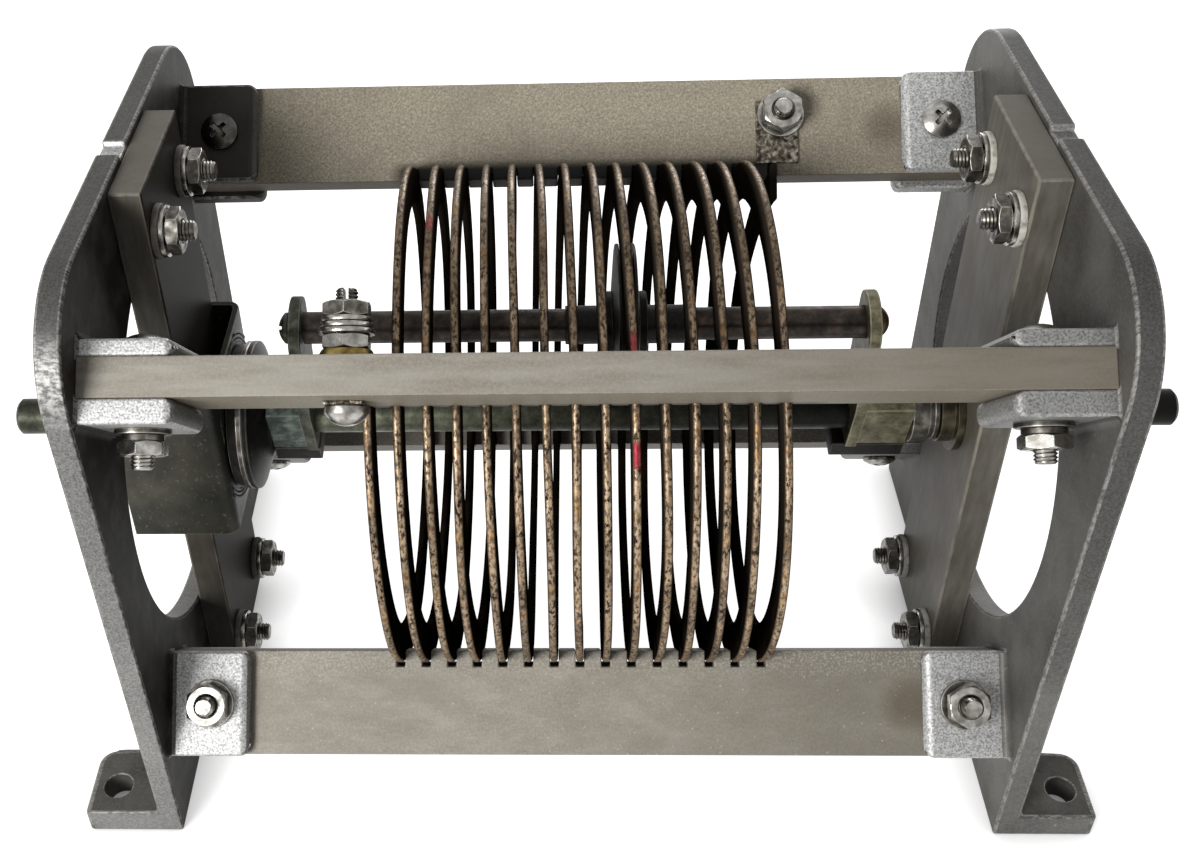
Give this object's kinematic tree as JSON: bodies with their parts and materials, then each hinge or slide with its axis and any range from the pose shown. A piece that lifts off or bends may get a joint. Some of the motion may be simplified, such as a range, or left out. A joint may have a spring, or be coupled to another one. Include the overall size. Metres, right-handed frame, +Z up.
{
  "type": "roller inductor",
  "caption": "Roller inductor: an edge-wound ribbon coil on insulating bars between cast end plates, tapped by a grooved wheel on a rod that the shaft turns.",
  "frame": {"origin": "middle of the overall box, on the plane of the feet", "axes": "+X along the shaft to the longer end, +Y to the back, +Z up"},
  "size_m": [0.2922, 0.137, 0.1604],
  "materials": {
    "cast_aluminium": "cast, tarnished, sanded on the lugs",
    "mica_bar": "glass-bonded mica, matt, speckled",
    "bearing_bronze": "dull",
    "copper_ribbon": "aged copper, dark on its sides",
    "nickel": "nickel plate, slightly worn",
    "dull_steel": "dull plate",
    "bright_washer": "bright plate",
    "brass_washer": "aged",
    "fibre": "white fibre, matt",
    "tin_tab": "tinned and soldered",
    "dark_sheet": "dark, oily",
    "gun_steel": "dark turned steel",
    "dark_brass": "dark tarnish",
    "green_brass": "green patina",
    "olive_brass": "dull olive",
    "black_fibre": "black, matt",
    "disc_steel": "worn bright at the rim"
  },
  "bodies": {
    "frame": {"end_plate_left": "cast_aluminium", "end_plate_right": "cast_aluminium", "bar_upper_front": "mica_bar", "bar_upper_back": "mica_bar", "bar_lower_front": "mica_bar", "bar_lower_back": "mica_bar", "bearing_strip_left": "mica_bar", "bearing_strip_right": "mica_bar", "bush_left": "bearing_bronze", "bush_right": "bearing_bronze", "coil": "copper_ribbon", "front_tab": "tin_tab", "front_screw": "nickel", "front_base_washer": "brass_washer", "front_lower_nut": "nickel", "front_washers": "bright_washer", "front_upper_nut": "nickel", "rear_screw": "nickel", "rear_lug": "tin_tab", "rear_washer": "bright_washer", "rear_lock_washer": "dull_steel", "rear_nut": "nickel", "collector_bracket": "dark_sheet", "bar_screws": "nickel", "bar_washers": "bright_washer", "bar_lock_washers": "dull_steel", "bar_nuts": "nickel", "strip_screws": "dull_steel", "strip_fibre_washers": "fibre", "strip_washers": "dull_steel", "strip_nuts": "dull_steel"},
    "rotor": {"shaft": "gun_steel", "arm_left": "dark_brass", "arm_right": "dark_brass", "hub_block_left": "green_brass", "hub_block_right": "olive_brass", "clamp_bar_left": "gun_steel", "clamp_bar_right": "gun_steel", "clamp_screws": "gun_steel", "contact_rod": "dark_brass", "rod_screw": "dark_brass", "collector_ring": "gun_steel", "collector_disc": "disc_steel", "collector_saucer": "dark_sheet", "thrust_collar": "disc_steel", "thrust_washers": "disc_steel"},
    "carriage": {"wheel_sleeve": "black_fibre"},
    "wheel": {"contact_wheel": "gun_steel"}
  },
  "joints": [
    {"name": "rotor_turn", "type": "hinge", "parent": "frame", "child": "rotor", "pos_m": [0, 0, 0.08142], "axis": [1, 0, 0], "range_deg": [-2880, 1800]},
    {"name": "carriage_slide", "type": "slide", "parent": "rotor", "child": "carriage", "axis": [1, 0, 0], "range_m": [-0.0512, 0.0322]},
    {"name": "wheel_spin", "type": "hinge", "parent": "carriage", "child": "wheel", "pos_m": [0.00827, -0.01082, 0.1168], "axis": [1, 0, 0], "range_deg": [-6100, 9750]}
  ],
  "couplings": [
    {"joint": "carriage_slide", "follows": "rotor_turn", "m_per_rad": 0.0010106},
    {"joint": "wheel_spin", "follows": "rotor_turn", "ratio": -3.3608}
  ]
}
